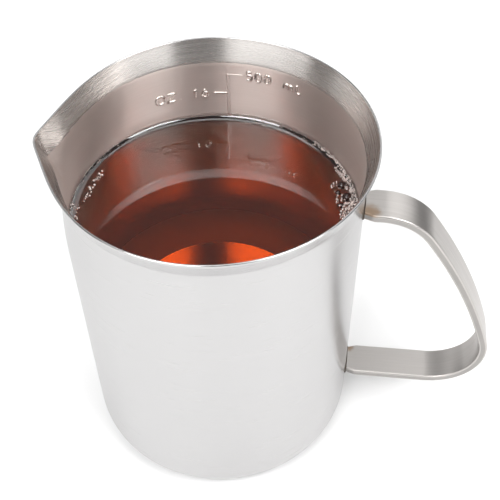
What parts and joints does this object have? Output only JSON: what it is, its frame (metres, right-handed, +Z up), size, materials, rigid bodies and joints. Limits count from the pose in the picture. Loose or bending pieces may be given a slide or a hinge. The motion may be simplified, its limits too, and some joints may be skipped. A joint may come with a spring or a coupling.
{
  "type": "candle melting pot",
  "caption": "Small steel pouring pot for melting wax: a deep cup with a flared rim, a pressed spout and a flat-bar handle welded on.",
  "frame": {"origin": "centre of the flat base, on the axis of the cup, at the surface that the pot stands on", "axes": "+Z up along the axis of the cup; +X towards the handle; the spout is on the opposite side, 6 degrees round from -X towards -Y"},
  "size_m": [0.1275, 0.0867, 0.1114],
  "materials": {
    "body_steel": "satin outside, fine brushing round the flared band and inside",
    "handle_steel": "satin, polished along its length",
    "weld_metal": "cleaned weld bead with a light straw heat tint"
  },
  "bodies": {
    "root": {"pot_body": "body_steel", "handle_strap": "handle_steel", "upper_weld": "weld_metal", "lower_weld": "weld_metal"}
  },
  "joints": []
}
